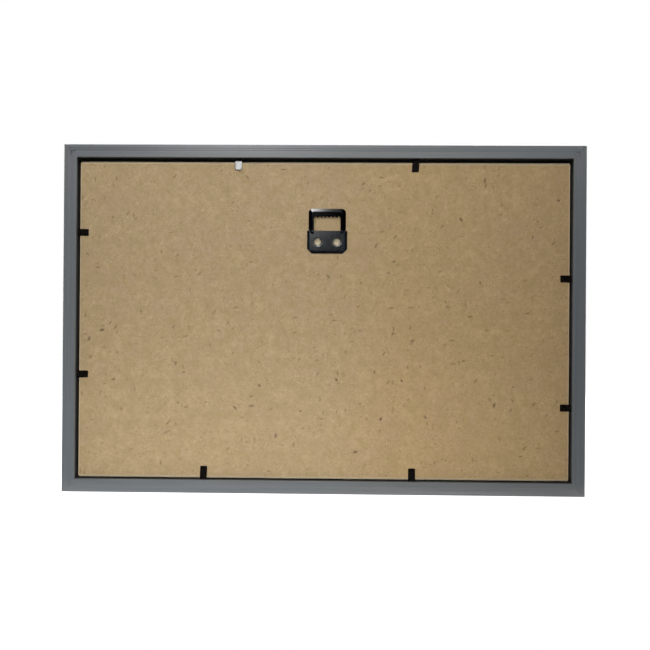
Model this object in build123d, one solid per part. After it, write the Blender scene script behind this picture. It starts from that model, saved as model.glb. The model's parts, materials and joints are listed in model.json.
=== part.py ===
"""Back-loading picture frame for a 17 by 11 inch sheet, hung on a nail by a sawtooth plate.

Millimetres. +X runs to the right seen from behind, +Y from the wall to the room, +Z up.
The origin is the nail: the point on the wall plane behind the middle notch of the hanger.
"""

import os
from math import atan2, cos, radians, sin
from typing import NamedTuple

from build123d import *

# Sheet that the frame takes, 17 by 11 inches
sheet_width = 431.8
sheet_height = 279.4

# Moulding section, one extrusion for all four rails
sheet_allowance = 3.8
back_width = 11.4
lip_width = 5.0
rabbet_depth = 12.3
lip_thickness = 5.7
sight_edge_height = 3.2
sight_bevel_width = 2.5
back_edge_radius = 0.7
wall_edge_radius = 0.4
sight_edge_radius = 0.5
front_edge_radius = 1.4
mitre_gap = 0.1

# Loaded stack, pressed together between the lip and the tabs
glass_thickness = 2.0
glass_undersize = 0.8
insert_thickness = 0.3
sheet_bottom_gap = 1.1
board_thickness = 3.0
board_side_gap = 1.8
board_top_gap = 3.9
board_bottom_gap = 2.1
board_edge_chamfer = 0.35

# Bendable tabs, driven into the rabbet wall
tab_strip_length = 16.0
tab_width = 6.1
tab_thickness = 0.45
tab_tip_radius = 0.7
tab_point_length = 1.6
tab_board_gap = 0.3
tab_bend_gap = 0.15
tab_slot_clearance = 0.05

# Corner nails, bent strips driven into the mitres from behind
corner_nail_inset = 5.6
corner_nail_leg = 4.4
corner_nail_thickness = 0.6
corner_nail_height = 9.0
corner_nail_sink = 0.2
corner_nail_clearance = 0.05

# Hanger, pressed from one sheet of steel
nail_drop = 61.8
hanger_offset = 3.0
hanger_sheet = 0.8
notch_count = 7
notch_pitch = 3.36
notch_depth = 1.7
window_height = 13.0
bridge_leg = 1.8
bridge_flange_run = 2.9
bridge_above_notch = 6.5
bridge_rise = 2.1
bridge_foot_overlap = 4.0
bridge_top_corner = 1.0
bridge_inner_bend = 0.4
plate_shoulder = 1.15
plate_height = 20.0
plate_chamfer = 3.9

# Eyelets drawn in the hanger and clinched in the board
eyelet_spacing = 16.9
eyelet_below_window = 9.6
eyelet_bore = 6.0
eyelet_wall = 0.6
eyelet_draw_radius = 1.2
eyelet_flare_length = 0.9
eyelet_flare_run = 0.8
eyelet_end_gap = 0.2
eyelet_board_clearance = 0.1


class Tab(NamedTuple):
    """One tab: its rail, its place along it counter-clockwise from behind, and how it was bent."""

    side: str
    along: float
    reach: float
    lean: float
    lift: float


tabs = {
    "top_left": Tab("top", 75.7, 10.0, 0, 8),
    "top_right": Tab("top", -80.9, 11.4, 4, 0),
    "left_upper": Tab("left", -75.7, 9.6, 0, 0),
    "left_lower": Tab("left", 49.7, 10.0, 0, 0),
    "bottom_left": Tab("bottom", -104.9, 11.7, 2, 0),
    "bottom_right": Tab("bottom", 78.7, 11.2, 0, 0),
    "right_upper": Tab("right", 37.1, 10.0, 0, 0),
    "right_lower": Tab("right", -76.1, 9.7, 0, 0),
}

# Sizes that follow from the ones above
rabbet_width = sheet_width + sheet_allowance
rabbet_height = sheet_height + sheet_allowance
frame_width = rabbet_width + 2 * back_width
frame_height = rabbet_height + 2 * back_width
moulding_width = back_width + lip_width
moulding_depth = rabbet_depth + lip_thickness
glass_back = rabbet_depth - glass_thickness
insert_back = glass_back - insert_thickness
board_back = insert_back - board_thickness
glass_width = sheet_width - glass_undersize
glass_height = sheet_height - glass_undersize
board_width = rabbet_width - 2 * board_side_gap
board_height = rabbet_height - board_top_gap - board_bottom_gap
tab_bend_depth = board_back - tab_board_gap - tab_thickness / 2
tab_bend_inset = back_width + tab_bend_gap + tab_thickness / 2
middle_height = nail_drop - frame_height / 2
middle = Pos(-hanger_offset, 0, middle_height)
window_width = notch_count * notch_pitch
bridge_width = window_width + 2 * (bridge_leg + bridge_flange_run)
plate_width = bridge_width + 2 * plate_shoulder
eyelet_height = -window_height - eyelet_below_window
eyelet_outer_radius = eyelet_bore / 2 + eyelet_wall
eyelet_end = insert_back - eyelet_end_gap

side_turn = {"bottom": 0, "left": 90, "top": 180, "right": 270}
start_corner = {"bottom": "bottom_left", "left": "top_left", "top": "top_right", "right": "bottom_right"}


def rail_length(side):
    """Outer length of a side's rail."""
    return frame_width if side in ("top", "bottom") else frame_height


def on_side(side, shape):
    """Turn a shape drawn on the bottom rail, outer edge on the X axis and inside up, to its side."""
    across = frame_height if side in ("top", "bottom") else frame_width
    return middle * Rot(0, side_turn[side], 0) * Pos(0, 0, -across / 2) * shape


def layer(depth):
    """Plane seen from behind at a depth from the wall, with its normal towards the wall."""
    return Plane(origin=(0, depth, 0), x_dir=(1, 0, 0), z_dir=(0, -1, 0))


def moulding(length):
    """Straight moulding along X: section drawn inwards and in depth, then extruded."""
    corners = [
        (0, 0),
        (back_width, 0),
        (back_width, rabbet_depth),
        (moulding_width, rabbet_depth),
        (moulding_width, rabbet_depth + sight_edge_height),
        (moulding_width - sight_bevel_width, moulding_depth),
        (0, moulding_depth),
    ]
    back_radii = [back_edge_radius, wall_edge_radius, 0]
    front_radii = [sight_edge_radius, sight_edge_radius, 0, front_edge_radius]
    radii = back_radii + front_radii
    section = make_face(FilletPolyline(*corners, radius=radii, close=True))
    end = Plane(origin=(length / 2, 0, 0), x_dir=(0, 0, 1), z_dir=(-1, 0, 0))
    return extrude(end * section, length)


def mitre_wedge(length):
    """Prism that keeps what lies between the two mitre cuts of a rail."""
    outer_half = length / 2 - mitre_gap / 2**0.5
    inner_half = outer_half - moulding_width
    corners = [(-outer_half, 0), (outer_half, 0), (inner_half, moulding_width), (-inner_half, moulding_width)]
    outline = make_face(Polyline(*corners, close=True))
    return extrude(layer(moulding_depth) * outline, moulding_depth)


def corner_nail(side, clearance=0.0):
    """V-shaped nail across the mitre at the start of a side, or its slot when given a clearance."""
    start = corner_nail_inset - rail_length(side) / 2
    near = -clearance
    far = corner_nail_leg + clearance
    wall = corner_nail_thickness + clearance
    corners = [(near, near), (far, near), (far, wall), (wall, wall), (wall, far), (near, far)]
    outline = Pos(start, corner_nail_inset) * make_face(Polyline(*corners, close=True))
    deep_end = corner_nail_sink + corner_nail_height + clearance
    height = deep_end if clearance else corner_nail_height
    return on_side(side, extrude(layer(deep_end) * outline, height))


def tab_shank(tab, clearance=0.0):
    """Pointed end of a tab inside its rail, or its slot when given a clearance."""
    half = tab_width / 2
    length = tab_strip_length - tab.reach
    shoulder = tab_point_length - length
    point = half / 2
    left = [(-point, -length), (-half, shoulder), (-half, 0)]
    right = [(half, 0), (half, shoulder), (point, -length)]
    outline = make_face(Polyline(*left, *right, close=True))
    if clearance:
        outline = offset(outline, clearance, kind=Kind.INTERSECTION)
    thickness = tab_thickness + 2 * clearance
    strip = extrude(layer(tab_bend_depth + thickness / 2) * outline, thickness)
    return on_side(tab.side, Pos(tab.along, 0, back_width) * strip)


def tab_leaf(tab):
    """Free end of a tab, from its rounded bend at the rabbet wall to its tip over the board."""
    lean = radians(tab.lean)
    half = tab_width / 2
    root_half = half / cos(lean)
    length = tab.reach - (tab_bend_inset - back_width)
    tip = Vector(sin(lean), cos(lean)) * length
    across = Vector(cos(lean), -sin(lean)) * half
    corners = [(-root_half, 0), (root_half, 0), tip + across, tip - across]
    outline = make_face(FilletPolyline(*corners, radius=[0, 0, tab_tip_radius, tab_tip_radius], close=True))
    blade = extrude(layer(tab_thickness / 2) * outline, tab_thickness)
    bend = Rot(0, 90, 0) * Cylinder(tab_thickness / 2, 2 * root_half)
    place = Pos(tab.along, tab_bend_depth, tab_bend_inset) * Rot(tab.lift, 0, 0)
    return on_side(tab.side, place * (blade + bend))


def rail(side):
    """Mitred rail with the slots that its tabs and corner nails were driven into."""
    length = rail_length(side)
    body = on_side(side, moulding(length) & mitre_wedge(length))
    slots = [corner_nail(corner_side, corner_nail_clearance) for corner_side in side_turn]
    slots += [tab_shank(tab, tab_slot_clearance) for tab in tabs.values() if tab.side == side]
    return body - slots


def stack_sheet(width, height, thickness, back, bottom_gap):
    """Rectangular sheet in the rabbet, its back at a given depth and its lower edge a gap above the rail."""
    lift = (height - rabbet_height) / 2 + bottom_gap
    return middle * Pos(0, back + thickness / 2, lift) * Box(width, thickness, height)


def at_eyelets(shape):
    """Copies of a shape, drawn about the wall's normal, at both eyelets."""
    return [Pos(sign * eyelet_spacing / 2, 0, eyelet_height) * shape for sign in (-1, 1)]


def round_cut(start, end, start_radius, end_radius):
    """Cylinder or cone about the wall's normal between two depths."""
    ends = [layer(start) * Circle(start_radius), layer(end) * Circle(end_radius)]
    return loft(ends, ruled=True)


def backing_board():
    """Hardboard back with its rear edges eased and a countersunk hole for each eyelet."""
    board = stack_sheet(board_width, board_height, board_thickness, board_back, board_bottom_gap)
    rear_edges = board.faces().sort_by(Axis.Y)[0].edges()
    board = chamfer(rear_edges, board_edge_chamfer)
    hole_radius = eyelet_outer_radius + eyelet_board_clearance
    mouth_radius = hole_radius + eyelet_flare_run
    sink_start = eyelet_end - eyelet_flare_length - eyelet_board_clearance
    hole = round_cut(board_back, insert_back, hole_radius, hole_radius)
    sink = round_cut(sink_start, eyelet_end, hole_radius, mouth_radius)
    mouth = round_cut(eyelet_end, insert_back, mouth_radius, mouth_radius)
    return board - at_eyelets(hole + sink + mouth)


def pressed_tray(inset, rise, bend_radius):
    """Solid form of the hanger's raised bridge: sloping flanges round a flat top."""
    run = bridge_flange_run * rise / bridge_rise
    width = bridge_width - 2 * inset
    height = bridge_above_notch + window_height + bridge_foot_overlap - 2 * inset
    centre = (bridge_above_notch - window_height - bridge_foot_overlap) / 2
    base = Pos(0, centre) * RectangleRounded(width, height, bridge_top_corner + run)
    top = Pos(0, centre) * RectangleRounded(width - 2 * run, height - 2 * run, bridge_top_corner)
    tray = loft([layer(board_back) * base, layer(board_back - rise) * top], ruled=True)
    top_edges = tray.faces().sort_by(Axis.Y)[0].edges()
    return fillet(top_edges, bend_radius)


def toothed_window():
    """Cut through the bridge, square below and notched above, down past its feet on the plate."""
    half = window_width / 2
    floor = -window_height - bridge_foot_overlap - hanger_sheet
    teeth = []
    for notch in range(notch_count):
        left = notch * notch_pitch - half
        teeth += [(left, -notch_depth), (left + notch_pitch / 2, 0)]
    outline = make_face(Polyline((-half, floor), *teeth, (half, -notch_depth), (half, floor), close=True))
    return extrude(layer(board_back) * outline, bridge_rise)


def hanger():
    """Sawtooth hanger: raised notched bridge running out on a flat plate, and two drawn eyelets."""
    slope = atan2(bridge_flange_run, bridge_rise)
    inset = hanger_sheet / cos(slope)
    outside = pressed_tray(0, bridge_rise, bridge_inner_bend + hanger_sheet)
    inside = pressed_tray(inset, bridge_rise - hanger_sheet, bridge_inner_bend)
    raised = outside - toothed_window()
    half = plate_width / 2
    foot = -window_height - plate_height
    corners = [
        (-half, -window_height),
        (half, -window_height),
        (half, foot + plate_chamfer),
        (half - plate_chamfer, foot),
        (plate_chamfer - half, foot),
        (-half, foot + plate_chamfer),
    ]
    outline = make_face(Polyline(*corners, close=True))
    plate = extrude(layer(board_back) * outline, hanger_sheet)
    plate_back = board_back - hanger_sheet
    flare_start = eyelet_end - eyelet_flare_length
    tube = round_cut(plate_back, eyelet_end, eyelet_outer_radius, eyelet_outer_radius)
    bore = round_cut(plate_back, eyelet_end, eyelet_bore / 2, eyelet_bore / 2)
    flare = round_cut(flare_start, eyelet_end, eyelet_outer_radius, eyelet_outer_radius + eyelet_flare_run)
    flare_bore = round_cut(flare_start, eyelet_end, eyelet_bore / 2, eyelet_bore / 2 + eyelet_flare_run)
    plate = plate + at_eyelets(tube + flare) - at_eyelets(bore + flare_bore)
    mouths = plate.faces().sort_by(Axis.Y)[0].edges().filter_by(GeomType.CIRCLE)
    return fillet(mouths, eyelet_draw_radius) - raised + (raised - inside)


nodes = {f"rail_{side}": rail(side) for side in side_turn}
nodes |= {f"corner_nail_{corner}": corner_nail(side) for side, corner in start_corner.items()}
nodes["glazing"] = stack_sheet(glass_width, glass_height, glass_thickness, glass_back, sheet_bottom_gap)
nodes["insert_sheet"] = stack_sheet(
    sheet_width, sheet_height, insert_thickness, insert_back, sheet_bottom_gap
)
nodes["backing_board"] = backing_board()
nodes["hanger"] = hanger()
for name, tab in tabs.items():
    nodes[f"tab_shank_{name}"] = tab_shank(tab)
    nodes[f"tab_leaf_{name}"] = tab_leaf(tab)

os.makedirs("parts", exist_ok=True)
for name, shape in nodes.items():
    export_step(shape, f"parts/{name}.step")
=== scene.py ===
"""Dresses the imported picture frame, seen from behind: finishes, bendable tabs, studio and camera."""

import json
from math import pi, radians, tan

import bmesh
import bpy
from mathutils import Matrix, Vector


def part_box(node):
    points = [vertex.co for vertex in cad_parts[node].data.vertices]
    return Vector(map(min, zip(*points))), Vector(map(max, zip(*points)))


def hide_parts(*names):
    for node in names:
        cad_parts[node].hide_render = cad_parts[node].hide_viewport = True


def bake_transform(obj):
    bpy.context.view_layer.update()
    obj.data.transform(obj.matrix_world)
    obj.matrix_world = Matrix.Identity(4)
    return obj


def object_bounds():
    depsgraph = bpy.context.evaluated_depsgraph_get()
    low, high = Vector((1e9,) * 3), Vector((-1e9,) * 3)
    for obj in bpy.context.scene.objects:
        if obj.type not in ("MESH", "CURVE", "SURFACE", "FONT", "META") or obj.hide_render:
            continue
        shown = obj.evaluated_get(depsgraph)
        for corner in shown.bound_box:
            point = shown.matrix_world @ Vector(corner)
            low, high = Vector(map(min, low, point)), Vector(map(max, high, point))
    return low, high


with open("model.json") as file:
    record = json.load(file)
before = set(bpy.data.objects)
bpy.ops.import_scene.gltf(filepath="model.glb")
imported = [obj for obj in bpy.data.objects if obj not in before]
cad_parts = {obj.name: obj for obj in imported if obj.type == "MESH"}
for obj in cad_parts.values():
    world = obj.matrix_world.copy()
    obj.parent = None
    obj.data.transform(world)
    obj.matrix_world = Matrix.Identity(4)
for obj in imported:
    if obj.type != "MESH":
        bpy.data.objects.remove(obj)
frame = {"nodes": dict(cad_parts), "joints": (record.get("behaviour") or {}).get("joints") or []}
cad_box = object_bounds()

MM = 0.001

# Frame, board and insert sheet, as packed
BACK_WIDTH = 11.4 * MM
RABBET_DEPTH = 12.3 * MM
frame_low, frame_high = cad_box
frame_middle = (frame_low + frame_high) / 2
frame_half = (frame_high - frame_low) / 2
rabbet_half = frame_half - Vector((BACK_WIDTH, 0, BACK_WIDTH))
board_low, board_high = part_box("backing_board")
board_middle = (board_low + board_high) / 2
board_half = (board_high - board_low) / 2
card_middle = sum(corner.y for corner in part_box("insert_sheet")) / 2

# Streaks along the moulding: width and length in millimetres
MOULDING_STREAKS = {"bluish": (30, 320), "broad": (2.6, 210), "fine": (0.95, 60)}

# Drag lines on the moulding: distance from its outer edge, width, and the stretch in which they fade
DIE_LINE_INSETS = (3.3 * MM, 5.1 * MM)
DIE_LINE_WIDTH = 1.4 * MM
DIE_LINE_FADE = (60 * MM, 190 * MM)

# Dark raw core and painted shade in the rabbet: depth of full tone, how far past the wall and lip it ends
# and is full
CORE_AND_SHADE_DEPTH = 5 * MM
CORE_AND_SHADE_PAST_WALL = (0.3 * MM, 0.05 * MM)
CORE_AND_SHADE_PAST_LIP = (0.3 * MM, 0.1 * MM)

# Noise on the board: size in millimetres
BOARD_NOISE = {"tints": 45, "clouds": 22, "patches": 17, "blots": 9, "felt": 3.2, "grain": 1.3}

# Colours over the board's own: the noise they follow, the level at which they are full, share and colour
BOARD_COLOUR = "#a38b68"
BOARD_TINTS = (
    ("tints", 0.65, 0.7, "#a88a73"),
    ("clouds", 0.65, 0.9, "#af9870"),
    ("blots", 0.65, 0.9, "#9b875d"),
    ("felt", 0.7, 0.4, "#8f7856"),
)

# Matted fibres on the board: length and girth in millimetres, strength, and turns in degrees
BOARD_FIBRES = (
    (4.5, 0.7, 0.3, (10, 57, 98, 148)),
    (2.4, 0.25, 0.5, (28, 83, 131, 172)),
)
FIBRE_CURL = 2.5 * MM

# Bundles of fibre on the board: colour and its depth, a cell's length and width and the least and most girth
# in millimetres, and layers, each with its turn in degrees and the share of cells that hold a bundle
BOARD_BUNDLES = (
    ("#c8b28a", 0.4, (12, 6), (0.6, 1.2), ((70, 0.6), (160, 0.6))),
    ("#6a522c", 0.82, (17, 6.5), (0.6, 1.6), ((5, 0.45), (50, 0.36), (95, 0.45))),
    ("#4a3517", 1.0, (38, 20), (0.9, 2.1), ((15, 0.43), (75, 0.26), (130, 0.43))),
)
BUNDLE_FRAY = 1.6 * MM

# Run in which painted warm light tints the board's right half, and how far in its painted edge highlight
# ends and is full
WARM_LIGHT_RUN = 70 * MM
EDGE_HIGHLIGHT_RIM = (1.4 * MM, 0.4 * MM)

# Run, each way from the middle, in which the insert sheet's front gives way to its back
CARD_CHANGE = 0.05 * MM

# Tab strips, as packed, with their lean and lift in degrees
TAB_WIDTH = 6.1 * MM
TAB_THICKNESS = 0.45 * MM
TAB_LENGTH = 16.0 * MM
TAB_POINT = 1.6 * MM
TAB_TIP_RADIUS = 0.7 * MM
TAB_TIP_STEPS = 6
TAB_EDGE_ROUND = 0.09 * MM
TAB_EDGE_STEPS = 3
TAB_SHARP_ANGLE = 10
TAB_CROWN = 0.12 * MM
TAB_CROWN_CUTS = 8
TAB_BEND_INSET = 0.375 * MM
TAB_BEND_RUN = 1.3 * MM
TAB_BEND_CUTS = 14
TAB_REACH = {
    "top_left": 10.0 * MM,
    "top_right": 11.4 * MM,
    "left_upper": 9.6 * MM,
    "left_lower": 10.0 * MM,
    "bottom_left": 11.7 * MM,
    "bottom_right": 11.2 * MM,
    "right_upper": 10.0 * MM,
    "right_lower": 9.7 * MM,
}
TAB_LEAN = {"top_right": 4, "bottom_left": 2}
TAB_LIFT = {"top_left": 8}

# Hanger's eyelets, as packed, and the width of the worn ring round their mouths
EYELET_SIDE = 8.45 * MM
EYELET_DROP = 22.6 * MM
EYELET_MOUTH = 4.2 * MM
EYELET_WORN_WIDTH = 0.4 * MM

# Hanger's plate: heights between which gloss turns to satin, top and radius of its faint dome, its sides and
# foot as packed, and the width and slope of the roll along them
PLATE_HEAD = (-12.4 * MM, -13.4 * MM)
PLATE_DOME_TOP = (5 * MM, 0, -30 * MM)
PLATE_DOME_RADIUS = 0.5
PLATE_HALF = 17.6 * MM
PLATE_FOOT = -33.0 * MM
PLATE_ROLL = 2.6 * MM
PLATE_ROLL_SLOPE = 0.7

# Studio, in metres: light of the world on the frame, the floor, and the room of black cards
WORLD_FILL = 0.06
FLOOR_GLOW = 0.9
FLOOR_GLOW_RUN = (0.2, 1.0)
FLOOR_FRONT = -0.12
FLOOR_BACK = 4.0
FLOOR_WIDTH = 6.0
CARDS_WIDTH = 2.8
CARDS_DEPTH = 1.3
CARDS_FOOT = -0.25
CARDS_HEIGHT = 1.5
CARDS_TO_FRAME = 0.03
CARD_OFF_FLOOR = 1 * MM

# Camera: lens and sensor in millimetres, place, and turns in degrees
CAMERA_LENS = 63.227
CAMERA_SENSOR = 36
CAMERA_PLACE = Vector((23.419, -999.107, -100.879)) * MM
CAMERA_TURNS = (90.277, -0.4197, 1.4064)


def linear(hex_colour):
    """Linear RGBA of an sRGB hex colour."""
    shares = [int(hex_colour[i:i + 2], 16) / 255 for i in (1, 3, 5)]
    return [c / 12.92 if c <= 0.04045 else ((c + 0.055) / 1.055) ** 2.4 for c in shares] + [1.0]


def per(size):
    """Scale of a pattern whose repeat is a real size in millimetres."""
    return 1 / (size * MM)


def node(tree, kind, sockets=None, **settings):
    """Adds a shader node, sets its properties, and fills its sockets with values, nodes or outputs."""
    made = tree.nodes.new("ShaderNode" + kind)
    for name, value in settings.items():
        setattr(made, name, value)
    for name, value in (sockets or {}).items():
        if isinstance(value, bpy.types.Node):
            value = next(out for out in value.outputs if out.enabled)
        if isinstance(value, bpy.types.NodeSocket):
            tree.links.new(value, made.inputs[name])
        else:
            made.inputs[name].default_value = value
    return made


def start_finish(name):
    """A new material and its empty node tree."""
    material = bpy.data.materials.new(name)
    material.use_nodes = True
    material.node_tree.nodes.clear()
    return material, material.node_tree


def end_finish(tree, surface):
    """Links the finished surface to the material's output."""
    node(tree, "OutputMaterial", {"Surface": surface})


def distance_from(tree, value, level):
    """How far a value lies from a level, to either side."""
    off = node(tree, "Math", {0: value, 1: level}, operation="SUBTRACT")
    return node(tree, "Math", {0: off}, operation="ABSOLUTE")


def moulding_finish(name, along, drag=0.0):
    """Extruded polystyrene with a satin grey skin: the die leaves broad faint streaks along the length.

    Down the wall of the rabbet the skin gives way to the dark raw core, dull and plain, with shade painted
    darker towards its depth.
    """
    material, tree = start_finish(name)
    place = node(tree, "TexCoord").outputs["Object"]
    streaks = {}
    for label, (across, length) in MOULDING_STREAKS.items():
        scale = [per(length) if axis == along else per(across) for axis in "XYZ"]
        stretched = node(tree, "Mapping", {"Vector": place, "Scale": scale})
        streaks[label] = node(tree, "TexNoise", {"Vector": stretched, "Scale": 1.0, "Detail": 2.0})
    grey = node(tree, "MapRange", {"Value": streaks["broad"], "From Min": 0.32, "From Max": 0.66})
    skin = node(tree, "Mix", {"Factor": grey, 6: linear("#595c5d"), 7: linear("#686b6c")}, data_type="RGBA")
    lined = node(
        tree,
        "MapRange",
        {"Value": streaks["fine"], "From Min": 0.3, "From Max": 0.7, "To Max": 0.3},
    )
    skin = node(tree, "Mix", {"Factor": lined, 6: skin, 7: linear("#565a5b")}, data_type="RGBA")
    cool = node(
        tree,
        "MapRange",
        {"Value": streaks["bluish"], "From Min": 0.4, "From Max": 0.7, "To Max": 0.5},
    )
    skin = node(tree, "Mix", {"Factor": cool, 6: skin, 7: linear("#5a636c")}, data_type="RGBA")
    if drag:
        lines = die_lines(tree, place, along, streaks["broad"], drag)
        skin = node(tree, "Mix", {"Factor": lines, 6: skin, 7: linear("#1f2022")}, data_type="RGBA")
    # Painted shade: the rabbet's wall is painted darker down its depth, over the dark raw core.
    core_and_shade = rabbet_core_and_shade_mask(tree, place)
    colour = node(tree, "Mix", {"Factor": core_and_shade, 6: skin, 7: linear("#100e0c")}, data_type="RGBA")
    shine = node(
        tree,
        "MapRange",
        {"Value": streaks["broad"], "From Min": 0.3, "From Max": 0.7, "To Min": 0.34, "To Max": 0.27},
    )
    rough = node(tree, "Mix", {"Factor": core_and_shade, 2: shine, 3: 0.85})
    ridges = node(tree, "Math", {0: streaks["broad"], 1: streaks["fine"]}, operation="ADD")
    bump = node(tree, "Bump", {"Height": ridges, "Strength": 0.8, "Distance": 0.06 * MM})
    surface = node(
        tree,
        "BsdfPrincipled",
        {"Base Color": colour, "Roughness": rough, "IOR": 1.59, "Normal": bump},
    )
    end_finish(tree, surface)
    return material


def die_lines(tree, place, along, wear, drag):
    """Strength of two fine dark lines that the die dragged along one length of moulding.

    They are worn away here and there, and fade towards one end.
    """
    if along == "X":
        axis, middle, half = "Z", frame_middle.z, frame_half.z
    else:
        axis, middle, half = "X", frame_middle.x, frame_half.x
    axes = node(tree, "SeparateXYZ", {"Vector": place}).outputs
    off = distance_from(tree, axes[axis], middle)
    deep = None
    for inset in DIE_LINE_INSETS:
        near = distance_from(tree, off, half - inset)
        line = node(
            tree,
            "MapRange",
            {"Value": near, "From Min": DIE_LINE_WIDTH / 2, "From Max": 0.0},
            interpolation_type="SMOOTHSTEP",
        )
        deep = line if deep is None else node(tree, "Math", {0: deep, 1: line}, operation="MAXIMUM")
    kept = node(
        tree,
        "MapRange",
        {"Value": wear, "From Min": 0.3, "From Max": 0.6, "To Min": 0.2, "To Max": drag},
    )
    start, end = DIE_LINE_FADE
    fading = node(
        tree,
        "MapRange",
        {"Value": axes[along], "From Min": start, "From Max": end, "To Min": 1.0, "To Max": 0.3},
    )
    kept = node(tree, "Math", {0: kept, 1: fading}, operation="MULTIPLY")
    return node(tree, "Math", {0: deep, 1: kept}, operation="MULTIPLY")


def rabbet_core_and_shade_mask(tree, place):
    """Share of dark raw core with painted shade: none on the moulding's skin, more and more down the
    rabbet's wall.
    """
    axes = node(tree, "SeparateXYZ", {"Vector": place}).outputs
    mask = node(tree, "MapRange", {"Value": axes["Y"], "From Max": CORE_AND_SHADE_DEPTH, "To Min": 0.3})
    end, full = CORE_AND_SHADE_PAST_LIP
    above_lip = node(
        tree,
        "MapRange",
        {"Value": axes["Y"], "From Min": RABBET_DEPTH + end, "From Max": RABBET_DEPTH + full},
    )
    mask = node(tree, "Math", {0: mask, 1: above_lip}, operation="MULTIPLY")
    end, full = CORE_AND_SHADE_PAST_WALL
    for axis, middle, half in (("X", frame_middle.x, rabbet_half.x), ("Z", frame_middle.z, rabbet_half.z)):
        off = distance_from(tree, axes[axis], middle)
        inside = node(tree, "MapRange", {"Value": off, "From Min": half + end, "From Max": half + full})
        mask = node(tree, "Math", {0: mask, 1: inside}, operation="MULTIPLY")
    return mask


def hardboard_finish():
    """Pressed hardboard: matted wood fibre in tan, cloudy at arm's length, with dark and pale bundles."""
    material, tree = start_finish("pressed_hardboard")
    place = node(tree, "TexCoord").outputs["Object"]
    flat = node(tree, "Mapping", {"Vector": place, "Rotation": (-pi / 2, 0, 0)})
    noise = {}
    for label, size in BOARD_NOISE.items():
        noise[label] = node(
            tree,
            "TexNoise",
            {"Vector": flat, "Scale": per(size), "Detail": 3.0},
            noise_dimensions="2D",
        )
    colour = linear(BOARD_COLOUR)
    for label, full, most, tint in BOARD_TINTS:
        share = node(
            tree,
            "MapRange",
            {"Value": noise[label], "From Min": 0.35, "From Max": full, "To Max": most},
        )
        colour = node(tree, "Mix", {"Factor": share, 6: colour, 7: linear(tint)}, data_type="RGBA")
    patchy = node(
        tree,
        "MapRange",
        {"Value": noise["patches"], "From Min": 0.38, "From Max": 0.62, "To Min": 0.25, "To Max": 1.45},
    )
    curled = node(
        tree,
        "VectorMath",
        {0: noise["felt"].outputs["Color"], 1: (FIBRE_CURL, FIBRE_CURL, 0), 2: flat},
        operation="MULTIPLY_ADD",
    )
    colour, heights = matted_fibres(tree, curled, patchy, colour, noise["grain"])
    ragged = node(
        tree,
        "VectorMath",
        {0: noise["grain"].outputs["Color"], 1: (BUNDLE_FRAY, BUNDLE_FRAY, 0), 2: flat},
        operation="MULTIPLY_ADD",
    )
    for tint, deepest, cell, girth, layers in BOARD_BUNDLES:
        for turn, share in layers:
            bundles = fibre_bundles(tree, ragged, patchy, turn, cell, girth, share, deepest)
            colour = node(tree, "Mix", {"Factor": bundles, 6: colour, 7: linear(tint)}, data_type="RGBA")
    # Painted warm light: the board's right half is tinted warmer, standing in for warm light falling on that
    # side.
    across = node(tree, "SeparateXYZ", {"Vector": place}).outputs["X"]
    painted_warm_light = node(
        tree,
        "MapRange",
        {"Value": across, "From Min": board_middle.x, "From Max": board_middle.x + WARM_LIGHT_RUN},
    )
    colour = node(
        tree,
        "Mix",
        {"Factor": painted_warm_light, 6: colour, 7: linear("#fffaef")},
        data_type="RGBA",
        blend_type="MULTIPLY",
    )
    # Painted highlight: a pale rim painted along the board's edges.
    edge_highlight = painted_edge_highlight(tree, place)
    colour = node(tree, "Mix", {"Factor": edge_highlight, 6: colour, 7: linear("#c9b697")}, data_type="RGBA")
    bump = node(tree, "Bump", {"Height": heights, "Strength": 0.4, "Distance": 0.05 * MM})
    rough = node(
        tree,
        "MapRange",
        {"Value": noise["felt"], "From Min": 0.3, "From Max": 0.7, "To Min": 0.62, "To Max": 0.78},
    )
    surface = node(
        tree,
        "BsdfPrincipled",
        {"Base Color": colour, "Roughness": rough, "IOR": 1.5, "Normal": bump},
    )
    end_finish(tree, surface)
    return material


def along_fibres(tree, place, turn, start, length, width):
    """Place on a pattern that lies one way, drawn out to a length and width in millimetres."""
    return node(
        tree,
        "Mapping",
        {
            "Vector": place,
            "Location": (start, 0, 0),
            "Rotation": (0, 0, radians(turn)),
            "Scale": (length * MM, width * MM, 1),
        },
        vector_type="TEXTURE",
    )


def matted_fibres(tree, curled, patchy, colour, heights):
    """Colour and height of the board under layers of dark and pale fibre, each lying its own way."""
    for length, girth, share, turns in BOARD_FIBRES:
        for turn in turns:
            strength = node(tree, "Math", {0: patchy, 1: share}, operation="MULTIPLY")
            drawn = along_fibres(tree, curled, turn, 0.1 * turn, length, girth)
            fibre = node(
                tree,
                "TexNoise",
                {"Vector": drawn, "Scale": 1.0, "Detail": 2.0},
                noise_dimensions="2D",
            )
            for none, full, tint in ((0.58, 0.76, "#856e4b"), (0.42, 0.24, "#b9a27a")):
                shown = node(
                    tree,
                    "MapRange",
                    {"Value": fibre, "From Min": none, "From Max": full, "To Max": strength},
                )
                colour = node(tree, "Mix", {"Factor": shown, 6: colour, 7: linear(tint)}, data_type="RGBA")
            heights = node(tree, "Math", {0: heights, 1: fibre}, operation="ADD")
    return colour, heights


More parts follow.
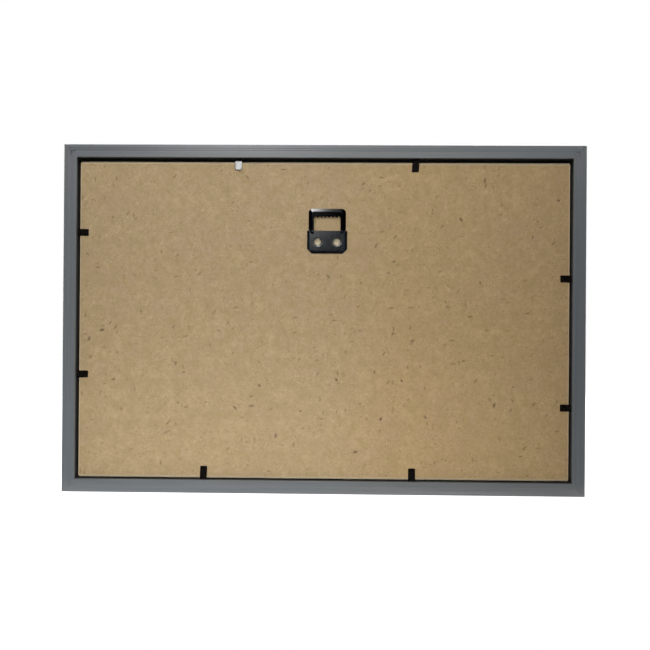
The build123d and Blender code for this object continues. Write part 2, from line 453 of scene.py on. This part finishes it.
def fibre_bundles(tree, ragged, patchy, turn, cell, girth, share, deepest):
    """Strength of scattered bundles of fibre, all lying one way: one in a share of the cells of a pattern.

    Where the board is patchy with fibre, more of the cells hold one. The bundles are drawn two or three
    times as thick as real ones, so that they show at arm's length.
    """
    length, width = cell
    slimmest, thickest = girth
    drawn = along_fibres(tree, ragged, turn, turn, length, width)
    cells = node(tree, "TexVoronoi", {"Vector": drawn, "Scale": 1.0}, voronoi_dimensions="2D")
    chance = node(tree, "SeparateColor", {"Color": cells.outputs["Color"]})
    empty = node(tree, "Math", {0: patchy, 1: -share, 2: 1.0}, operation="MULTIPLY_ADD")
    rare = node(tree, "MapRange", {"Value": chance.outputs["Red"], "From Min": empty})
    rare = node(tree, "Math", {0: rare, 1: 2.5}, operation="POWER")
    depth = node(tree, "Math", {0: rare, 1: deepest}, operation="MULTIPLY")
    radius = node(
        tree,
        "MapRange",
        {"Value": chance.outputs["Green"], "To Min": slimmest / width, "To Max": thickest / width},
    )
    shape = node(
        tree,
        "MapRange",
        {"Value": cells.outputs["Distance"], "From Min": radius, "From Max": 0.0},
        interpolation_type="SMOOTHSTEP",
    )
    return node(tree, "Math", {0: depth, 1: shape}, operation="MULTIPLY")


def painted_edge_highlight(tree, place):
    """Strength of a painted highlight: a pale rim painted along the board's edges."""
    axes = node(tree, "SeparateXYZ", {"Vector": place}).outputs
    end, full = EDGE_HIGHLIGHT_RIM
    edge_highlight = None
    for axis, middle, half in (("X", board_middle.x, board_half.x), ("Z", board_middle.z, board_half.z)):
        off = distance_from(tree, axes[axis], middle)
        near = node(
            tree,
            "MapRange",
            {"Value": off, "From Min": half - end, "From Max": half - full, "To Max": 0.7},
        )
        edge_highlight = near if edge_highlight is None else node(tree, "Math", {0: edge_highlight, 1: near}, operation="MAXIMUM")
    return edge_highlight


def hanger_finish():
    """Black enamel dipped on pressed steel: glossy on the bridge, a cloudy satin on the plate, whose base
    colour is painted lighter as sheen.

    The punch that draws the eyelets open wears the enamel off round their mouths, where bare steel glints,
    and leaves their throats dull. The press leaves the plate faintly domed, which turns its sheen.
    """
    material, tree = start_finish("dipped_black_enamel")
    place = node(tree, "TexCoord").outputs["Object"]
    height = node(tree, "SeparateXYZ", {"Vector": place}).outputs["Z"]
    bridge_foot, plate_head = PLATE_HEAD
    plate = node(tree, "MapRange", {"Value": height, "From Min": bridge_foot, "From Max": plate_head})
    peel = node(tree, "TexNoise", {"Vector": place, "Scale": per(1.2), "Detail": 2.0})
    clouds = node(tree, "TexNoise", {"Vector": place, "Scale": per(6), "Detail": 3.0})
    tone = node(tree, "MapRange", {"Value": clouds, "From Min": 0.35, "From Max": 0.65})
    # Painted sheen: the plate's base colour is made lighter than the bridge's, standing in for the brighter
    # reflection it catches.
    plate_tone_with_painted_sheen = node(
        tree,
        "Mix",
        {"Factor": tone, 6: linear("#0c0e11"), 7: linear("#16191e")},
        data_type="RGBA",
    )
    colour = node(tree, "Mix", {"Factor": plate, 6: linear("#030304"), 7: plate_tone_with_painted_sheen}, data_type="RGBA")
    satin = node(
        tree,
        "MapRange",
        {"Value": clouds, "From Min": 0.3, "From Max": 0.7, "To Min": 0.2, "To Max": 0.27},
    )
    rough = node(tree, "Mix", {"Factor": plate, 2: 0.1, 3: satin})
    folded = node(tree, "VectorMath", {0: place}, operation="ABSOLUTE")
    off = node(tree, "VectorMath", {0: folded, 1: (EYELET_SIDE, 0, EYELET_DROP)}, operation="SUBTRACT")
    off = node(tree, "VectorMath", {0: off, 1: (1, 0, 1)}, operation="MULTIPLY")
    radius = node(tree, "VectorMath", {0: off}, operation="LENGTH")
    worn = distance_from(tree, radius, EYELET_MOUTH - EYELET_WORN_WIDTH / 2)
    bare = node(
        tree,
        "MapRange",
        {
            "Value": worn,
            "From Min": EYELET_WORN_WIDTH / 2,
            "From Max": EYELET_WORN_WIDTH / 4,
            "To Max": 0.9,
        },
    )
    colour = node(tree, "Mix", {"Factor": bare, 6: colour, 7: linear("#a3a19e")}, data_type="RGBA")
    throat = node(
        tree,
        "MapRange",
        {
            "Value": radius,
            "From Min": EYELET_MOUTH - EYELET_WORN_WIDTH,
            "From Max": EYELET_MOUTH - 2 * EYELET_WORN_WIDTH,
        },
    )
    rough = node(tree, "Mix", {"Factor": throat, 2: rough, 3: 0.2})
    slope = 1 / PLATE_DOME_RADIUS
    sprung = node(tree, "VectorMath", {0: place, 1: PLATE_DOME_TOP}, operation="SUBTRACT")
    sprung = node(tree, "VectorMath", {0: sprung, 1: (slope, 0, slope)}, operation="MULTIPLY")
    sprung = node(tree, "VectorMath", {0: sprung, 1: rolled_rim(tree, place)}, operation="ADD")
    sprung = node(tree, "VectorMath", {0: sprung, "Scale": plate}, operation="SCALE")
    facing = node(tree, "NewGeometry").outputs["Normal"]
    facing = node(tree, "VectorMath", {0: facing, 1: sprung}, operation="ADD")
    bump = node(tree, "Bump", {"Height": peel, "Strength": 0.2, "Distance": 0.02 * MM, "Normal": facing})
    surface = node(
        tree,
        "BsdfPrincipled",
        {"Base Color": colour, "Metallic": bare, "Roughness": rough, "IOR": 1.5, "Normal": bump},
    )
    end_finish(tree, surface)
    return material


def rolled_rim(tree, place):
    """Slope of the plate's face at its sides and foot, where the press rolls the sheet over.

    The roll is drawn about six times as wide as a real one, so that its dark line shows.
    """
    axes = node(tree, "SeparateXYZ", {"Vector": place}).outputs
    side = node(tree, "Math", {0: axes["X"]}, operation="ABSOLUTE")
    side = node(
        tree,
        "MapRange",
        {
            "Value": side,
            "From Min": PLATE_HALF - PLATE_ROLL,
            "From Max": PLATE_HALF,
            "To Max": PLATE_ROLL_SLOPE,
        },
    )
    hand = node(tree, "Math", {0: axes["X"]}, operation="SIGN")
    side = node(tree, "Math", {0: side, 1: hand}, operation="MULTIPLY")
    foot = node(
        tree,
        "MapRange",
        {
            "Value": axes["Z"],
            "From Min": PLATE_FOOT + PLATE_ROLL,
            "From Max": PLATE_FOOT,
            "To Max": -PLATE_ROLL_SLOPE,
        },
    )
    return node(tree, "CombineXYZ", {"X": side, "Z": foot})


def tab_finish():
    """Glossy black stoving enamel on spring strip: near black, sharp in reflection, faintly wavy."""
    material, tree = start_finish("glossy_black_stoving_enamel")
    place = node(tree, "TexCoord").outputs["Object"]
    wave = node(tree, "TexNoise", {"Vector": place, "Scale": per(2.2), "Detail": 2.0})
    tone = node(tree, "MapRange", {"Value": wave, "From Min": 0.35, "From Max": 0.65})
    colour = node(
        tree,
        "Mix",
        {"Factor": tone, 6: linear("#0b0908"), 7: linear("#171412")},
        data_type="RGBA",
    )
    rough = node(
        tree,
        "MapRange",
        {"Value": wave, "From Min": 0.3, "From Max": 0.7, "To Min": 0.08, "To Max": 0.13},
    )
    bump = node(tree, "Bump", {"Height": wave, "Strength": 0.1, "Distance": 0.02 * MM})
    surface = node(
        tree,
        "BsdfPrincipled",
        {"Base Color": colour, "Roughness": rough, "IOR": 1.5, "Normal": bump},
    )
    end_finish(tree, surface)
    return material


def nail_finish():
    """Zinc-plated steel strip, cut and driven: pale grey metal gone dull, with a patchy bloom."""
    material, tree = start_finish("dull_zinc_plated_strip")
    place = node(tree, "TexCoord").outputs["Object"]
    bloom = node(tree, "TexNoise", {"Vector": place, "Scale": per(1.4), "Detail": 3.0})
    tone = node(tree, "MapRange", {"Value": bloom, "From Min": 0.35, "From Max": 0.65})
    colour = node(
        tree,
        "Mix",
        {"Factor": tone, 6: linear("#6c6e70"), 7: linear("#8f9193")},
        data_type="RGBA",
    )
    rough = node(
        tree,
        "MapRange",
        {"Value": bloom, "From Min": 0.3, "From Max": 0.7, "To Min": 0.5, "To Max": 0.7},
    )
    surface = node(tree, "BsdfPrincipled", {"Base Color": colour, "Metallic": 1.0, "Roughness": rough})
    end_finish(tree, surface)
    return material


def glass_finish():
    """Float glass: clear and smooth with a faint green cast, open to the lamps behind it."""
    material, tree = start_finish("float_glass")
    place = node(tree, "TexCoord").outputs["Object"]
    ream = node(tree, "TexNoise", {"Vector": place, "Scale": per(60), "Detail": 1.0})
    bump = node(tree, "Bump", {"Height": ream, "Strength": 0.05, "Distance": 0.02 * MM})
    pane = node(
        tree,
        "BsdfPrincipled",
        {
            "Base Color": linear("#fdfefd"),
            "Roughness": 0.0,
            "IOR": 1.52,
            "Transmission Weight": 1.0,
            "Normal": bump,
        },
    )
    clear = node(tree, "BsdfTransparent", {"Color": linear("#fdfefd")})
    path = node(tree, "LightPath")
    surface = node(tree, "MixShader", {0: path.outputs["Is Shadow Ray"], 1: pane, 2: clear})
    end_finish(tree, surface)
    return material


def card_finish():
    """Thin boxboard: a clay-white front towards the glass and a natural tan back, both matt."""
    material, tree = start_finish("clay_coated_boxboard")
    place = node(tree, "TexCoord").outputs["Object"]
    depth = node(tree, "SeparateXYZ", {"Vector": place}).outputs["Y"]
    front = node(
        tree,
        "MapRange",
        {"Value": depth, "From Min": card_middle - CARD_CHANGE, "From Max": card_middle + CARD_CHANGE},
    )
    formation = node(tree, "TexNoise", {"Vector": place, "Scale": per(2.4), "Detail": 4.0})
    tone = node(tree, "MapRange", {"Value": formation, "From Min": 0.3, "From Max": 0.7})
    white = node(
        tree,
        "Mix",
        {"Factor": tone, 6: linear("#e2dfd7"), 7: linear("#e9e6df")},
        data_type="RGBA",
    )
    tan_back = node(
        tree,
        "Mix",
        {"Factor": tone, 6: linear("#dccdad"), 7: linear("#ebdcbb")},
        data_type="RGBA",
    )
    colour = node(tree, "Mix", {"Factor": front, 6: tan_back, 7: white}, data_type="RGBA")
    bump = node(tree, "Bump", {"Height": formation, "Strength": 0.2, "Distance": 0.03 * MM})
    surface = node(
        tree,
        "BsdfPrincipled",
        {"Base Color": colour, "Roughness": 0.9, "IOR": 1.5, "Normal": bump},
    )
    end_finish(tree, surface)
    return material


def dress(finish, *names):
    """Gives CAD nodes their finish."""
    for name in names:
        mesh = frame["nodes"][name].data
        mesh.materials.clear()
        mesh.materials.append(finish)


def tab_strip(name, joint, finish):
    """One whole tab as a steel strip, from its point in the rail to its rounded tip over the board."""
    tip = TAB_REACH[name] - TAB_BEND_INSET
    point = tip - TAB_LENGTH
    half = TAB_WIDTH / 2
    outline = [
        (-half / 2, point),
        (half / 2, point),
        (half, point + TAB_POINT),
        (half, tip),
        (-half, tip),
        (-half, point + TAB_POINT),
    ]
    mesh = bmesh.new()
    corners = [mesh.verts.new((x, y, -TAB_THICKNESS / 2)) for x, y in outline]
    mesh.faces.new(corners)
    tip_corners = corners[3:5]
    bmesh.ops.bevel(
        mesh,
        geom=tip_corners,
        offset=TAB_TIP_RADIUS,
        segments=TAB_TIP_STEPS,
        profile=0.5,
        affect="VERTICES",
        material=-1,
    )
    raised = bmesh.ops.extrude_face_region(mesh, geom=mesh.faces[:])
    lifted = [v for v in raised["geom"] if isinstance(v, bmesh.types.BMVert)]
    bmesh.ops.translate(mesh, verts=lifted, vec=(0, 0, TAB_THICKNESS))
    bmesh.ops.recalc_face_normals(mesh, faces=mesh.faces[:])
    rims = [e for e in mesh.edges if abs(e.verts[0].co.z - e.verts[1].co.z) < TAB_THICKNESS / 2]
    bmesh.ops.bevel(
        mesh,
        geom=rims,
        offset=TAB_EDGE_ROUND,
        segments=TAB_EDGE_STEPS,
        profile=0.5,
        affect="EDGES",
        material=-1,
    )
    first_cut = -TAB_BEND_INSET
    for cut in range(TAB_BEND_CUTS + 1):
        level = first_cut + TAB_BEND_RUN * cut / TAB_BEND_CUTS
        bmesh.ops.bisect_plane(
            mesh,
            geom=mesh.verts[:] + mesh.edges[:] + mesh.faces[:],
            plane_co=(0, level, 0),
            plane_no=(0, 1, 0),
        )
    for cut in range(1, TAB_CROWN_CUTS):
        bmesh.ops.bisect_plane(
            mesh,
            geom=mesh.verts[:] + mesh.edges[:] + mesh.faces[:],
            plane_co=(TAB_WIDTH * (cut / TAB_CROWN_CUTS - 0.5), 0, 0),
            plane_no=(1, 0, 0),
        )
    lean = tan(radians(TAB_LEAN.get(name, 0)))
    lift = radians(TAB_LIFT.get(name, 0))
    for vert in mesh.verts:
        run = max(0.0, vert.co.y)
        vert.co.z -= TAB_CROWN * min(1.0, run / TAB_WIDTH) * (vert.co.x / half) ** 2
        vert.co.x += run * lean
        share = min(1.0, max(0.0, (vert.co.y - first_cut) / TAB_BEND_RUN))
        turn = lift * share * share * (3 - 2 * share)
        vert.co = Matrix.Rotation(turn, 3, "X") @ vert.co
    along = Vector(joint["axis"])
    inward = along.cross(Vector((0, 1, 0)))
    pivot = Vector(joint["pos_m"])
    off_board = Vector((0, -1, 0))
    seat = Matrix((along, inward, off_board)).transposed().to_4x4()
    bmesh.ops.transform(mesh, matrix=Matrix.Translation(pivot) @ seat, verts=mesh.verts[:])
    data = bpy.data.meshes.new("tab_strip_" + name)
    mesh.to_mesh(data)
    mesh.free()
    data.materials.append(finish)
    strip = bpy.data.objects.new("tab_strip_" + name, data)
    bpy.context.scene.collection.objects.link(strip)
    data.shade_smooth()
    data.set_sharp_from_angle(angle=radians(TAB_SHARP_ANGLE))
    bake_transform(strip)
    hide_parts("tab_leaf_" + name, "tab_shank_" + name)
    return strip


def softbox(name, place, aim, width, height, radiance):
    """Oblong lamp of an even radiance, turned to its aim and itself unseen, with lengths in metres."""
    lamp = bpy.data.lights.new(name, "AREA")
    lamp.shape = "RECTANGLE"
    lamp.size = width
    lamp.size_y = height
    lamp.energy = radiance * pi * width * height
    holder = bpy.data.objects.new(name, lamp)
    holder.location = place
    holder.rotation_euler = (Vector(aim) - Vector(place)).to_track_quat("-Z", "Y").to_euler()
    holder.visible_camera = False
    bpy.context.scene.collection.objects.link(holder)
    return holder


def stage_sheet(name, middle, width, depth, finish, upright_on=None):
    """Flat rectangle in the studio, level or stood upright by a quarter turn about an axis."""
    sheet = bmesh.new()
    bmesh.ops.create_grid(sheet, x_segments=1, y_segments=1, size=0.5)
    stood = Matrix.Rotation(pi / 2, 4, upright_on) if upright_on else Matrix.Identity(4)
    place = Matrix.Translation(middle) @ stood @ Matrix.Diagonal((width, depth, 1, 1))
    bmesh.ops.transform(sheet, matrix=place, verts=sheet.verts[:])
    data = bpy.data.meshes.new(name)
    sheet.to_mesh(data)
    sheet.free()
    data.materials.append(finish)
    made = bpy.data.objects.new(name, data)
    bpy.context.scene.collection.objects.link(made)
    return made


def seen_rays(tree):
    """One for what is seen straight, in gloss or through glass, and nought for the light on the frame."""
    path = node(tree, "LightPath").outputs
    seen = node(tree, "Math", {0: path["Is Camera Ray"], 1: path["Is Glossy Ray"]}, operation="MAXIMUM")
    return node(tree, "Math", {0: seen, 1: path["Is Transmission Ray"]}, operation="MAXIMUM")


def white_surroundings():
    """World that is white where it is seen, and only a dim fill on the frame."""
    world = bpy.data.worlds.new("studio")
    world.use_nodes = True
    tree = world.node_tree
    tree.nodes.clear()
    level = node(tree, "MapRange", {"Value": seen_rays(tree), "To Min": WORLD_FILL})
    light = node(tree, "Background", {"Color": linear("#ffffff"), "Strength": level})
    node(tree, "OutputWorld", {"Surface": light})
    bpy.context.scene.world = world


def pale_floor():
    """Matt white paper under the frame, lifted to white where it is seen, with the frame's shadow on it."""
    material, tree = start_finish("white_floor_paper")
    place = node(tree, "TexCoord").outputs["Object"]
    depth = node(tree, "SeparateXYZ", {"Vector": place}).outputs["Y"]
    near, far = FLOOR_GLOW_RUN
    lift = node(tree, "MapRange", {"Value": depth, "From Min": near, "From Max": far, "To Min": FLOOR_GLOW})
    glow = node(tree, "Math", {0: seen_rays(tree), 1: lift}, operation="MULTIPLY")
    white = node(tree, "Emission", {"Color": linear("#ffffff"), "Strength": glow})
    matt = node(tree, "BsdfDiffuse", {"Color": linear("#e6e6e6")})
    end_finish(tree, node(tree, "AddShader", {0: matt, 1: white}))
    middle = (frame_middle.x, (FLOOR_FRONT + FLOOR_BACK) / 2, frame_low.z)
    stage_sheet("floor", middle, FLOOR_WIDTH, FLOOR_BACK - FLOOR_FRONT, material)


def black_cards():
    """Black cards round the camera's side of the studio, which keep white out of the enamel's gloss."""
    material, tree = start_finish("black_card")
    end_finish(tree, node(tree, "BsdfDiffuse", {"Color": linear("#050505")}))
    width, depth, height = CARDS_WIDTH, CARDS_DEPTH, CARDS_HEIGHT
    halfway_back, halfway_up = -depth / 2, CARDS_FOOT + height / 2
    on_floor = (0, -(depth + CARDS_TO_FRAME) / 2, frame_low.z + CARD_OFF_FLOOR)
    past_camera = (0, -depth, halfway_up)
    overhead = (0, halfway_back, CARDS_FOOT + height)
    at_left = (-width / 2, halfway_back, halfway_up)
    at_right = (width / 2, halfway_back, halfway_up)
    cards = (
        stage_sheet("card_on_floor", on_floor, width, depth - CARDS_TO_FRAME, material),
        stage_sheet("card_past_camera", past_camera, width, height, material, upright_on="X"),
        stage_sheet("card_overhead", overhead, width, depth, material),
        stage_sheet("card_at_left", at_left, height, depth, material, upright_on="Y"),
        stage_sheet("card_at_right", at_right, height, depth, material, upright_on="Y"),
    )
    for card in cards:
        card.visible_camera = False
        card.visible_diffuse = False
        card.visible_transmission = False
        card.visible_shadow = False


def lamps():
    """Plain soft lamps: three wash the back evenly, and four show only in its gloss.

    The last three light the front and the sides.
    """
    wash = (
        softbox("low", (-0.08, -0.18, -0.2), (-0.08, 0, -0.2), 0.44, 0.08, 3.2),
        softbox("high", (-0.08, -0.3, 0.2), (-0.06, 0, 0), 0.65, 0.16, 4.6),
        softbox("key", (-0.05, -1.2, 0), frame_middle, 0.5, 0.5, 2.9),
    )
    for lamp in wash:
        lamp.visible_glossy = False
    shine = (
        softbox("gloss", (-0.165, -0.9, 0.22), frame_middle, 0.21, 0.24, 4.6),
        softbox("sheen", (0.25, -0.9, 0.36), frame_middle, 0.5, 0.2, 2.8),
        softbox("glint", (-0.17, -0.9, 0.456), (-0.079, 0, 0.046), 0.16, 0.12, 17),
        softbox("top_light", (-0.339, -0.2, 1.0), (-0.339, -0.2, 0), 0.6, 0.3, 17),
    )
    for lamp in shine:
        lamp.visible_diffuse = False
    softbox("room", (0.3, 1.2, 0.75), frame_middle, 1.0, 1.0, 6)
    for side in (-1, 1):
        softbox("flank", (1.1 * side, 0.15, 0.1), frame_middle, 0.6, 0.6, 6)


def studio():
    """White surroundings, pale floor, black cards and plain soft lamps."""
    white_surroundings()
    pale_floor()
    black_cards()
    lamps()


def camera():
    """Camera where the photograph was taken from, behind the frame and square to it."""
    lens = bpy.data.cameras.new("photograph")
    lens.lens = CAMERA_LENS
    lens.sensor_width = CAMERA_SENSOR
    eye = bpy.data.objects.new("photograph", lens)
    eye.location = CAMERA_PLACE
    eye.rotation_euler = [radians(turn) for turn in CAMERA_TURNS]
    bpy.context.scene.collection.objects.link(eye)
    bpy.context.scene.camera = eye


dress(moulding_finish("satin_extruded_polystyrene_dragged", "X", drag=0.8), "rail_top")
dress(moulding_finish("satin_extruded_polystyrene_lying", "X"), "rail_bottom")
dress(moulding_finish("satin_extruded_polystyrene_upright", "Z"), "rail_left", "rail_right")
dress(hardboard_finish(), "backing_board")
dress(hanger_finish(), "hanger")
dress(nail_finish(), *[name for name in frame["nodes"] if name.startswith("corner_nail")])
dress(glass_finish(), "glazing")
dress(card_finish(), "insert_sheet")

enamel = tab_finish()
for joint in frame["joints"]:
    tab_strip(joint["name"].removeprefix("bend_"), joint, enamel)

studio()
camera()
bpy.context.scene.view_settings.view_transform = "Standard"
